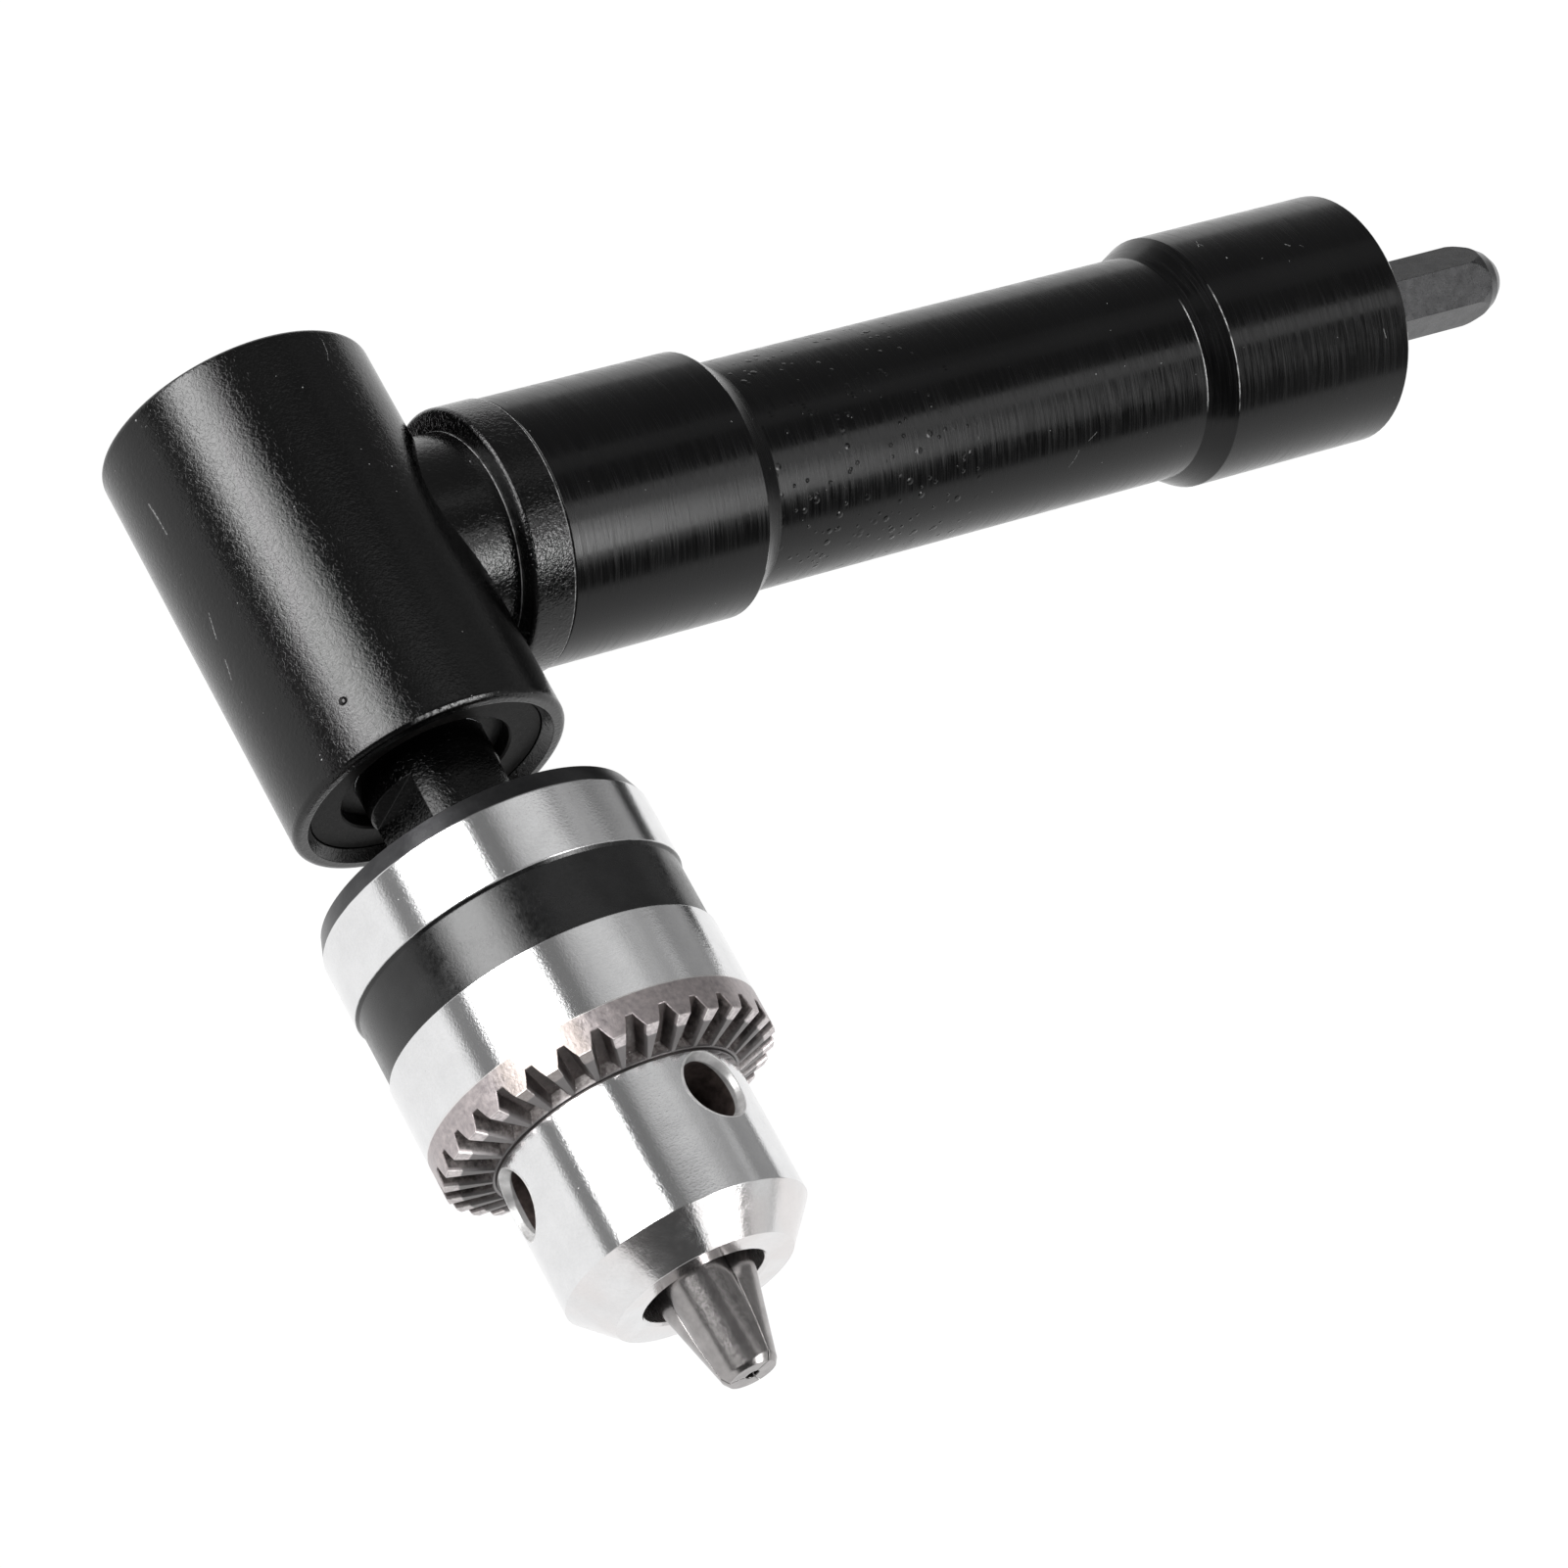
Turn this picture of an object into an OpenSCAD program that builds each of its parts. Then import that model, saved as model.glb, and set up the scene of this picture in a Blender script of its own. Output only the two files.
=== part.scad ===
// Right angle drill attachment: cast head, turned handle, mitre gear drive and a keyed three-jaw chuck.
// Handle axis along +X, chuck axis along -Y, both at half the height; +Z up, lying on its side.
// Stations called h_ are measured along the handle axis, and stations called c_ along the chuck axis,
// both from the point where the two axes cross.

/* [Head] */
// Outer radius of the cast head
head_r = 15.25; // [14.5:0.05:16.5]
// Closed end of the head, beyond the crossing point
head_top = 21.25; // [20.75:0.05:24]
// Open end of the head
head_rim = 25.3; // [25.1:0.05:26]
// Radius of the rounded edges of the casting
head_edge = 0.7; // [0.3:0.1:1]
// Outer radius of the side neck
neck_r = 12.3; // [11.5:0.1:13]
// Outer radius of the flange
flange_r = 14.7; // [14:0.05:15.5]
// Front face of the flange
flange_h0 = 16.4; // [16:0.1:17]
// Rear face of the flange, where the handle starts
flange_h1 = 21.4; // [21:0.1:22]

/* [Handle] */
// Radius of the front section
front_r = 14.5; // [13.5:0.05:15.5]
// End of the front section
front_end = 45.3; // [40:0.1:50]
// Length of the taper behind the front section
front_taper = 2.8; // [1.5:0.1:4]
// Radius of the grip
grip_r = 12.5; // [12:0.05:13]
// Start of the rear collar
collar_h0 = 104.1; // [95:0.1:108]
// Length of the cone on the collar
collar_taper = 3.2; // [1:0.1:5]
// Radius of the rear collar
collar_r = 14.1; // [13:0.05:16]
// Rear face of the collar
collar_end = 131.2; // [131:0.1:133]

/* [Drive shank] */
// Hexagon across flats
hex_af = 8; // [7.5:0.05:8.5]
// Rounded end of the shank
shank_end = 154.6; // [150:0.1:165]
// Length of the rounded end
shank_dome = 6; // [3:0.1:8]

/* [Spindle] */
// Radius of the visible collar of the spindle
spindle_r = 7.2; // [6.8:0.05:7.2]
// Width across the two spanner flats
flats_af = 10; // [9:0.1:12]
// Direction of the first flat around the chuck axis
flats_turn = 177; // [0:1:360]
// Start of the flats
flats_c0 = 26.3; // [24.5:0.1:28]
// End of the flats
flats_c1 = 34.4; // [32:0.1:35]
// Radius of the threaded end that carries the chuck
stub_r = 4.76; // [4.5:0.01:4.79]

/* [Chuck] */
// Radius of the sleeve
sleeve_r = 18.2; // [18:0.05:19]
// Rear edge of the sleeve
sleeve_c0 = 35.85; // [35.85:0.05:36.2]
// Radius at the rear edge
sleeve_r0 = 17.4; // [16.9:0.05:18]
// End of the rear cone
sleeve_c1 = 38.1; // [37:0.1:40]
// Start of the dark band
band_c0 = 45.3; // [42:0.1:47]
// End of the dark band
band_c1 = 53.2; // [50:0.1:56]
// Radius of the dark band
band_r = 17.92; // [17.5:0.01:18]
// Number of key teeth on the sleeve
key_teeth = 31; // [24:1:36]
// Deepest point of a key tooth space on the outside of the sleeve
gullet_c = 63.65; // [63.55:0.05:64.5]
// Outer end of the tooth crests
crest_c = 65.45; // [65:0.05:66]
// Front face of the sleeve
sleeve_c2 = 66.85; // [66.5:0.05:67.5]
// Direction of one tooth space around the chuck axis
teeth_turn = 123.5; // [0:0.1:360]
// Radius of the nose of the chuck body
nose_r = 13.25; // [13:0.05:13.25]
// Start of the nose cone
nose_c0 = 82; // [80:0.1:83]
// Front face of the nose
nose_c1 = 86; // [85:0.1:87]
// Radius of the flat ring on the nose
nose_flat_r = 9.75; // [9:0.05:11]
// Radius of the opening in the nose
nose_bore_r = 6.6; // [6.4:0.05:7]
// Radius of the key pilot holes
key_r = 3.4; // [3.2:0.05:3.5]
// Station of the key pilot holes
key_c = 70.95; // [70.6:0.05:72]
// Direction of the first key pilot hole around the chuck axis
key_turn = 68.2; // [0:0.1:360]

/* [Jaws] */
// Radius of a round jaw
jaw_r = 3.4; // [3.2:0.05:3.5]
// Tilt of a jaw to the chuck axis
jaw_tilt = 15.5; // [15:0.1:16]
// Point where the jaw axis crosses the chuck axis
jaw_apex = 93.2; // [92.8:0.1:93.6]
// Tip of the closed jaws
jaw_tip = 96; // [95.5:0.1:97]
// Rear end of the closed jaws
jaw_rear = 60.5; // [60:0.1:62]
// Radius of the smallest shank that the closed jaws hold
grip_min_r = 0.75; // [0.4:0.05:1]
// Travel of each jaw along its own axis
jaw_travel = 18.7; // [10:0.1:18.7]

/* [Gears] */
// Module of the mitre gears at their outer end
gear_m = 1.2; // [1.1:0.05:1.2]
// Teeth on each mitre gear
gear_z = 14; // [14:1:14]
// Face width of the gears
gear_face = 4.2; // [3:0.1:4.5]
// Share of the pitch taken by a tooth
tooth_share = 0.46; // [0.4:0.01:0.47]

/* [Hidden] */
$fn = 96;

// The box around the whole object is centred on the origin in X and Y and stands on Z = 0.
frame_shift = [-(shank_end - sleeve_r) / 2, (jaw_tip - head_top) / 2, sleeve_r];
black_paint = [0.09, 0.09, 0.1];
black_oxide = [0.16, 0.16, 0.17];
dark_steel = [0.33, 0.33, 0.34];
bright_steel = [0.78, 0.79, 0.8];
race_steel = [0.68, 0.69, 0.71];
brass_cage = [0.72, 0.58, 0.3];
seal_rubber = [0.1, 0.1, 0.1];

// [bore radius, inner land, outer land, outer radius, width, pitch radius, ball radius, balls, first face]
lower_brg = [5, 7.2, 11, 13, 8, 9.1, 2.3, 7, 14.45];
upper_brg = [4, 5.9, 9.3, 11, 7, 7.6, 1.95, 7, -17.6];
front_brg = [4, 5.5, 8, 9.5, 6, 6.75, 1.5, 8, 14.2];
rear_brg = [5, 6.6, 9.4, 11, 6, 8, 1.6, 9, 121.5];

cavity_r = 11.9;
neck_bore_r = 9.5;
spigot_r = 11;
spigot_end = 33;
ring_c1 = 24.05;
body_rear = 36.4;
body_hub = 35.6;
body_r = 16.3;
sleeve_bore = 16.35;
nut_c0 = 56.4;
nut_c1 = 63.4;
sleeve_lip = 63.55;
jaw_slope = tan(jaw_tilt);
// Distance from the chuck axis to the outside of a jaw at station c.
function jaw_out(c) = (jaw_apex - c) * jaw_slope + jaw_r / cos(jaw_tilt);
pitch_r = gear_m * gear_z / 2;
cone_len = pitch_r * sqrt(2);
cone_k = (cone_len - gear_face) / cone_len;
root_d = 1.25 * gear_m;

module on_chuck() { translate(frame_shift) rotate([90, 0, 0]) children(); }
module on_handle() { translate(frame_shift) rotate([0, 90, 0]) children(); }
module ring(ri, ro, z0, z1) { rotate_extrude() polygon([[ri, z0], [ro, z0], [ro, z1], [ri, z1]]); }
module rod(r, z0, z1) { translate([0, 0, z0]) cylinder(r = r, h = z1 - z0); }
// Points of a quarter round from one profile edge to the next.
function round_pts(cx, cz, r, a0, a1, n = 4) = [for (i = [0:n]) let (a = a0 + (a1 - a0) * i / n) [cx + r * cos(a), cz + r * sin(a)]];

// ---- bearings ----
module outer_race(b) {
    g = b[6] + 0.1; z = b[8] + b[4] / 2;
    a = acos((b[2] - b[5]) / g);
    rotate_extrude() polygon(concat([[b[3], b[8] + 0.3], [b[3], b[8] + b[4] - 0.3], [b[3] - 0.3, b[8] + b[4]], [b[2], b[8] + b[4]]],
        [for (i = [-5:5]) [b[5] + g * cos(a * i / 5), z - g * sin(a * i / 5)]],
        [[b[2], b[8]], [b[3] - 0.3, b[8]]]));
}
module inner_race(b) {
    g = b[6] + 0.1; z = b[8] + b[4] / 2;
    a = acos((b[5] - b[1]) / g);
    rotate_extrude() polygon(concat([[b[0], b[8] + b[4]], [b[0], b[8]], [b[1], b[8]]],
        [for (i = [-5:5]) [b[5] - g * cos(a * i / 5), z + g * sin(a * i / 5)]],
        [[b[1], b[8] + b[4]]]));
}
module balls(b) {
    for (i = [0:b[7] - 1]) rotate([0, 0, i * 360 / b[7]]) translate([b[5], 0, b[8] + b[4] / 2]) sphere(r = b[6], $fn = 32);
}
module cage(b) {
    z = b[8] + b[4] / 2; w = b[6] + 0.35;
    difference() {
        ring(b[5] - 0.6, b[5] + 0.6, z - w, z + w);
        for (i = [0:b[7] - 1]) rotate([0, 0, i * 360 / b[7]]) translate([b[5] - 1.6, 0, z]) rotate([0, 90, 0]) cylinder(r = b[6] + 0.08, h = 3.2, $fn = 48);
    }
}
module seals(b) {
    ring(b[1] + 0.05, b[2], b[8] + 0.1, b[8] + 0.7);
    ring(b[1] + 0.05, b[2], b[8] + b[4] - 0.7, b[8] + b[4] - 0.1);
}

// ---- circlips: a split ring with two drilled ears ----
module clip(ri, ro, ear_at, ear_r, hole_r, gap, spread, z0, z1, turn) {
    rotate([0, 0, turn]) difference() {
        union() {
            ring(ri, ro, z0, z1);
            for (a = [-spread, spread]) rotate([0, 0, a]) translate([ear_at, 0, z0]) cylinder(r = ear_r, h = z1 - z0, $fn = 32);
        }
        translate([ri - 4, -gap, z0 - 1]) cube([ro - ri + 8, 2 * gap, z1 - z0 + 2]);
        for (a = [-spread, spread]) rotate([0, 0, a]) translate([ear_at, 0, z0 - 1]) cylinder(r = hole_r, h = z1 - z0 + 2, $fn = 24);
    }
}
module inner_clip(ro, ri, z0, z1, turn) { clip(ri, ro, ri - 0.15, 1.3, 0.55, 1.8, 22, z0, z1, turn); }
module outer_clip(ri, ro, z0, z1, turn) { clip(ri, ro, ro + 0.2, 1, 0.45, 1.5, 27, z0, z1, turn); }

// ---- mitre gears: apex at the crossing point ----
r_v = cone_len;
z_v = gear_z * sqrt(2);
r_base = r_v * cos(20);
function inv_deg(a) = tan(a) * 180 / PI - a;
// Half of the tooth angle at radius p on the equivalent spur gear.
function half_angle(p) = let (q = max(p, r_base)) tooth_share * 180 / z_v + inv_deg(20) - inv_deg(acos(r_base / q));
tooth_rho = [for (i = [0:6]) r_v - root_d + (root_d + gear_m) * i / 6];
function flank(s) = [for (p = tooth_rho) [s * p * sin(half_angle(p)), p * cos(half_angle(p)) - r_v]];
tooth_pts = concat([[-0.9 * gear_m, -root_d - 0.25]], flank(-1), [for (i = [6:-1:0]) flank(1)[i]], [[0.9 * gear_m, -root_d - 0.25]]);
module mitre_gear(bore, hub_end, pin_z) {
    s = sqrt(0.5);
    difference() {
        union() {
            for (i = [0:gear_z - 1]) rotate([0, 0, i * 360 / gear_z])
                multmatrix([[0, s, -s, pitch_r], [1, 0, 0, 0], [0, -s, -s, pitch_r], [0, 0, 0, 1]])
                    linear_extrude(height = gear_face, scale = cone_k, slices = 1) polygon(tooth_pts);
            rotate_extrude() polygon([[bore, (pitch_r + root_d * s) * cone_k], [(pitch_r - root_d * s) * cone_k, (pitch_r + root_d * s) * cone_k],
                [pitch_r - root_d * s, pitch_r + root_d * s], [6.5, 2 * pitch_r - 6.5], [6.5, hub_end - 0.3], [6.2, hub_end], [bore, hub_end]]);
        }
        translate([0, 0, pin_z]) rotate([0, 90, 0]) translate([0, 0, -10]) cylinder(r = 1, h = 20, $fn = 32);
    }
}

// ---- head and handle ----
module head_housing() {
    color(black_paint) difference() {
        union() {
            on_chuck() rotate_extrude() polygon(concat([[0, -head_top]],
                round_pts(head_r - head_edge, -head_top + head_edge, head_edge, -90, 0),
                round_pts(head_r - head_edge, head_rim - head_edge, head_edge, 0, 90),
                [[0, head_rim]]));
            on_handle() rod(neck_r, 0, flange_h0 + 0.5);
            on_handle() rotate_extrude() polygon(concat([[0, flange_h0]],
                round_pts(flange_r - 0.6, flange_h0 + 0.6, 0.6, -90, 0),
                [[flange_r, flange_h1 - 0.15], [flange_r - 0.15, flange_h1], [0, flange_h1]]));
            on_handle() rod(spigot_r, flange_h1 - 0.5, spigot_end);
        }
        // mouth, bearing seat, gear chamber and upper bearing pocket
        on_chuck() rotate_extrude() polygon([[0, -18.3], [7, -18.3], [7, -17.6], [11, -17.6], [11, -10.6], [cavity_r, -10.6],
            [cavity_r, 14.45], [13, 14.45], [13, ring_c1 + 0.1], [13.8, head_rim - 0.05], [13.8, head_rim + 1], [0, head_rim + 1]]);
        // bore of the neck with the groove for the front circlip
        on_handle() rod(neck_bore_r, 2, spigot_end + 1);
        on_handle() ring(8, 10, 20.25, 21.35);
    }
}

module handle() {
    color(black_oxide) on_handle() difference() {
        rotate_extrude() polygon([[spigot_r + 0.05, flange_h1], [front_r - 0.25, flange_h1], [front_r, flange_h1 + 0.25], [front_r, front_end],
            [grip_r, front_end + front_taper], [grip_r, collar_h0], [collar_r, collar_h0 + collar_taper],
            [collar_r, collar_end - 0.4], [collar_r - 0.4, collar_end], [11.3, collar_end], [11, collar_end - 0.3],
            [11, 121.5], [9, 121.5], [9, spigot_end + 0.3], [spigot_r + 0.05, spigot_end + 0.3]]);
        ring(10, 11.55, 127.6, 128.7);
    }
}

module bearing_retainer() {
    color(black_oxide) on_chuck() rotate_extrude()
        polygon([[9.4, 22.45], [13, 22.45], [13, ring_c1 - 0.15], [12.85, ring_c1], [9.6, ring_c1], [9.4, ring_c1 - 0.2]]);
}
module front_circlip() { color(dark_steel) on_handle() inner_clip(9.95, 8.4, 20.3, 21.3, 36); }
module rear_circlip() { color(dark_steel) on_handle() inner_clip(11.5, 9.8, 127.65, 128.65, 150); }
module shaft_circlip() { color(dark_steel) on_handle() outer_clip(4.75, 6.1, 127.65, 128.55, -30); }

// ---- spindle line ----
module spindle() {
    color(black_paint) on_chuck() difference() {
        rotate_extrude() polygon([[0, -17.9], [3.6, -17.9], [4, -17.5], [4, 14.42], [5, 14.42], [5, 22.5], [spindle_r, 22.5],
            [spindle_r, body_hub - 0.3], [spindle_r - 0.3, body_hub], [stub_r, body_hub], [stub_r, 48.6], [stub_r - 0.6, 49.2], [0, 49.2]]);
        for (k = [0, 180]) rotate([0, 0, flats_turn + k]) translate([flats_af / 2, -10, flats_c0]) cube([10, 20, flats_c1 - flats_c0]);
        translate([0, 0, 12.35]) rotate([0, 90, 0]) translate([0, 0, -10]) cylinder(r = 1, h = 20, $fn = 32);
    }
}
module output_bevel_gear() { color(dark_steel) on_chuck() mitre_gear(4, 14.4, 12.35); }
module output_gear_pin() { color(bright_steel) on_chuck() translate([-6.4, 0, 12.35]) rotate([0, 90, 0]) cylinder(r = 1, h = 12.8, $fn = 32); }

module input_shaft() {
    e = shank_end; d = shank_dome; rc = hex_af / sqrt(3);
    color(dark_steel) on_handle() difference() {
        union() {
            rotate_extrude() polygon([[0, 5], [3.6, 5], [4, 5.4], [4, 20.25], [4.7, 20.25], [5, 20.55], [5, 118.5], [6.2, 118.5], [6.2, 121.45], [5, 121.45],
                [5, 127.6], [4.72, 127.6], [4.72, 128.6], [5, 128.6], [5, 129.3], [rc - 0.8, 130.2], [0, 130.2]]);
            intersection() {
                translate([0, 0, 129]) rotate([0, 0, 0.8]) cylinder(r = rc, h = e - 128, $fn = 6);
                rotate_extrude() polygon([[0, 129], [rc + 0.05, 129], [rc + 0.05, e - d], [rc * 0.97, e - 0.8 * d], [rc * 0.88, e - 0.56 * d],
                    [rc * 0.73, e - 0.33 * d], [rc * 0.53, e - 0.15 * d], [rc * 0.3, e - 0.04 * d], [rc * 0.12, e], [0, e]]);
            }
        }
        translate([0, 0, 12.2]) rotate([0, 90, 0]) translate([0, 0, -10]) cylinder(r = 1, h = 20, $fn = 32);
    }
}
module input_bevel_gear() { color(dark_steel) on_handle() mitre_gear(4, 14.15, 12.2); }
module input_gear_pin() { color(bright_steel) on_handle() translate([-6.4, 0, 12.2]) rotate([0, 90, 0]) cylinder(r = 1, h = 12.8, $fn = 32); }

// ---- chuck ----
// Places its child in the frame of jaw i: local +Z along the jaw towards the nose, origin where the jaw axis meets the chuck axis.
module jaw_frame(i) { rotate([0, 0, key_turn + 60 + 120 * i]) translate([0, 0, jaw_apex]) rotate([0, -jaw_tilt, 0]) children(); }

module key_hole() {
    // local +X points out of the hole
    rotate([0, 90, 0]) {
        rod(key_r, 7, nose_r + 2);
        translate([0, 0, 6.1]) cylinder(r1 = 0.4, r2 = key_r, h = 0.92);
        translate([0, 0, nose_r - 1.1]) cylinder(r1 = key_r, r2 = key_r + 0.55, h = 1.5);
    }
}

module chuck_body() {
    color(bright_steel) on_chuck() difference() {
        rotate_extrude() polygon([[0, body_hub], [8.5, body_hub], [8.8, body_rear], [body_r - 0.4, body_rear], [body_r, body_rear + 0.4],
            [body_r, nut_c0 - 0.1], [jaw_out(nut_c0) - 0.28, nut_c0 - 0.1], [jaw_out(nut_c1) - 0.28, nut_c1 + 0.1], [nose_r, nut_c1 + 0.1],
            [nose_r, nose_c0], [nose_flat_r, nose_c1], [nose_bore_r + 0.3, nose_c1], [nose_bore_r, nose_c1 - 0.3],
            [nose_bore_r, 81.5], [5.3, 80.4], [5.3, 53], [0, 51.4]]);
        rod(4.8, body_hub - 1, 50);
        for (i = [0:2]) {
            jaw_frame(i) rod(jaw_r + 0.06, (41 - jaw_apex) / cos(jaw_tilt), (nose_c1 + 2 - jaw_apex) / cos(jaw_tilt));
            rotate([0, 0, key_turn + 120 * i]) translate([0, 0, key_c]) key_hole();
        }
    }
}

// Space between two key teeth, of constant width along the sloping crest, above a root that slopes to the same point of the axis.
// Local +Z runs inwards, +Y out of the face.
module gullet() {
    a = atan2(sleeve_c2 - crest_c, sleeve_r - 13.75);
    apex_c = crest_c + sleeve_r * tan(a);
    d = (crest_c - gullet_c) * cos(a);
    x = 1;
    intersection() {
        multmatrix([[0, sin(a), -cos(a), sleeve_r + x * cos(a)], [1, 0, 0, 0], [0, cos(a), sin(a), crest_c - x * sin(a)], [0, 0, 0, 1]])
            linear_extrude(height = 7)
                polygon([[-0.4, -d], [0.4, -d], [0.63, -0.66 * d], [0.89, -0.32 * d], [1.21, 0], [1.21, 1.5], [-1.21, 1.5], [-1.21, 0],
                    [-0.89, -0.32 * d], [-0.63, -0.66 * d]]);
        translate([sleeve_r, 0, gullet_c]) rotate([0, atan2(apex_c - gullet_c, sleeve_r), 0]) translate([-8, -3, 0]) cube([10, 6, 6]);
    }
}

module chuck_sleeve() {
    color(bright_steel) on_chuck() difference() {
        rotate_extrude() polygon([[sleeve_bore, sleeve_c0], [sleeve_r0, sleeve_c0], [sleeve_r, sleeve_c1], [sleeve_r, band_c0],
            [band_r, band_c0 + 0.45], [band_r, band_c1 - 0.12], [sleeve_r, band_c1], [sleeve_r, crest_c], [13.75, sleeve_c2], [13.3, sleeve_c2],
            [13.3, sleeve_lip], [sleeve_bore, sleeve_lip]]);
        // the spaces end at a thin rim round the nose
        difference() {
            for (i = [0:key_teeth - 1]) rotate([0, 0, teeth_turn + i * 360 / key_teeth]) gullet();
            rod(13.6, sleeve_lip - 1, sleeve_c2 + 3);
        }
    }
}

module nut_half(side) {
    color(dark_steel) on_chuck() difference() {
        rotate_extrude() polygon([[jaw_out(nut_c0) + 0.08, nut_c0], [sleeve_bore, nut_c0], [sleeve_bore, nut_c1], [jaw_out(nut_c1) + 0.08, nut_c1]]);
        rotate([0, 0, side]) translate([-25, -0.05, nut_c0 - 1]) cube([50, 30, nut_c1 - nut_c0 + 2]);
    }
}
module nut_half_a() { nut_half(20); }
module nut_half_b() { nut_half(200); }

module jaw(i) {
    z_rear = (jaw_rear - jaw_apex) / cos(jaw_tilt);
    color(dark_steel) on_chuck() difference() {
        intersection() {
            jaw_frame(i) rod(jaw_r, z_rear, 8);
            // third of a circle, held clear of the other jaws
            rotate([0, 0, key_turn + 60 + 120 * i]) translate([0.07, 0, jaw_rear - 5]) linear_extrude(height = jaw_tip - jaw_rear + 8)
                polygon([[0, 0], [20, -20 * tan(60)], [30, 0], [20, 20 * tan(60)]]);
            // flat tip with a chamfer
            rotate_extrude() polygon([[0, jaw_rear - 5], [26, jaw_rear - 5], [26, 80], [3.35, jaw_tip - 1.1], [2.55, jaw_tip], [0, jaw_tip]]);
            // rear end ground to clear the sleeve when the jaws are open
            rotate([0, 0, key_turn + 60 + 120 * i]) translate([-jaw_travel * sin(jaw_tilt), 0, jaw_rear - 5]) cylinder(r = 16.15, h = jaw_tip - jaw_rear + 8);
        }
        translate([0, 0, jaw_rear - 5]) cylinder(r = grip_min_r, h = jaw_tip - jaw_rear + 8, $fn = 48);
        // rack on the outer side, driven by the nut
        for (k = [0:7]) jaw_frame(i) translate([jaw_r - 0.75, -4, z_rear + 1.2 + 2 * k]) cube([3, 8, 1]);
    }
}
module jaw_1() { jaw(0); }
module jaw_2() { jaw(1); }
module jaw_3() { jaw(2); }

// ---- bearing pieces ----
module lower_bearing_outer_race() { color(race_steel) on_chuck() outer_race(lower_brg); }
module lower_bearing_seals() { color(seal_rubber) on_chuck() seals(lower_brg); }
module lower_bearing_inner_race() { color(race_steel) on_chuck() inner_race(lower_brg); }
module lower_bearing_balls() { color(bright_steel) on_chuck() balls(lower_brg); }
module lower_bearing_cage() { color(brass_cage) on_chuck() cage(lower_brg); }
module upper_bearing_outer_race() { color(race_steel) on_chuck() outer_race(upper_brg); }
module upper_bearing_inner_race() { color(race_steel) on_chuck() inner_race(upper_brg); }
module upper_bearing_balls() { color(bright_steel) on_chuck() balls(upper_brg); }
module upper_bearing_cage() { color(brass_cage) on_chuck() cage(upper_brg); }
module front_bearing_outer_race() { color(race_steel) on_handle() outer_race(front_brg); }
module front_bearing_inner_race() { color(race_steel) on_handle() inner_race(front_brg); }
module front_bearing_balls() { color(bright_steel) on_handle() balls(front_brg); }
module front_bearing_cage() { color(brass_cage) on_handle() cage(front_brg); }
module rear_bearing_outer_race() { color(race_steel) on_handle() outer_race(rear_brg); }
module rear_bearing_seals() { color(seal_rubber) on_handle() seals(rear_brg); }
module rear_bearing_inner_race() { color(race_steel) on_handle() inner_race(rear_brg); }
module rear_bearing_balls() { color(bright_steel) on_handle() balls(rear_brg); }
module rear_bearing_cage() { color(brass_cage) on_handle() cage(rear_brg); }

head_housing();
handle();
bearing_retainer();
lower_bearing_outer_race();
lower_bearing_seals();
upper_bearing_outer_race();
front_bearing_outer_race();
front_circlip();
rear_bearing_outer_race();
rear_bearing_seals();
rear_circlip();
spindle();
output_bevel_gear();
output_gear_pin();
lower_bearing_inner_race();
upper_bearing_inner_race();
chuck_body();
chuck_sleeve();
nut_half_a();
nut_half_b();
jaw_1();
jaw_2();
jaw_3();
input_shaft();
input_bevel_gear();
input_gear_pin();
front_bearing_inner_race();
rear_bearing_inner_race();
shaft_circlip();
lower_bearing_balls();
lower_bearing_cage();
upper_bearing_balls();
upper_bearing_cage();
front_bearing_balls();
front_bearing_cage();
rear_bearing_balls();
rear_bearing_cage();
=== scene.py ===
import math

import bpy
import numpy as np
from mathutils import Matrix, Vector

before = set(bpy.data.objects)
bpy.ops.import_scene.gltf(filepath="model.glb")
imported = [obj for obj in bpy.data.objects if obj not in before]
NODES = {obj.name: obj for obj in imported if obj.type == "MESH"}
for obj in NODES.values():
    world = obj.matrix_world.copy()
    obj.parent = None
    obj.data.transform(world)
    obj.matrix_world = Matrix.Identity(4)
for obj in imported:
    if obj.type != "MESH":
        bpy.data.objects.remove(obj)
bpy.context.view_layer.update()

MM = 0.001
# The crossing point of the handle axis and the chuck axis, in millimetres in the model's frame.
ORIGIN = np.array([-68.2, 37.375, 18.2])
scene = bpy.context.scene
scene.view_settings.view_transform = "Standard"
scene.view_settings.look = "None"


# ------------------------------------------------------------------ camera
def add_camera():
    right = Vector((0.8301358399, -0.4595262521, 0.3157690785))
    up = Vector((0.2436569832, 0.8083871335, 0.5358558733))
    ahead = Vector((0.5015035013, 0.3678938244, -0.7830379123))
    place = Vector((-287.192144, -273.975472, 505.594121)) + Vector(ORIGIN)
    cam = bpy.data.objects.new("photo_camera", bpy.data.cameras.new("photo_camera"))
    scene.collection.objects.link(cam)
    cam.data.sensor_width = 36.0
    cam.data.lens = 36.0 * 6396.422701 / 1601.0
    cam.data.clip_start, cam.data.clip_end = 0.02, 30.0
    m = Matrix.Identity(4)
    for i in range(3):
        m[i][0], m[i][1], m[i][2] = right[i], up[i], -ahead[i]
        m[i][3] = place[i] * MM
    cam.matrix_world = m
    scene.camera = cam


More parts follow.
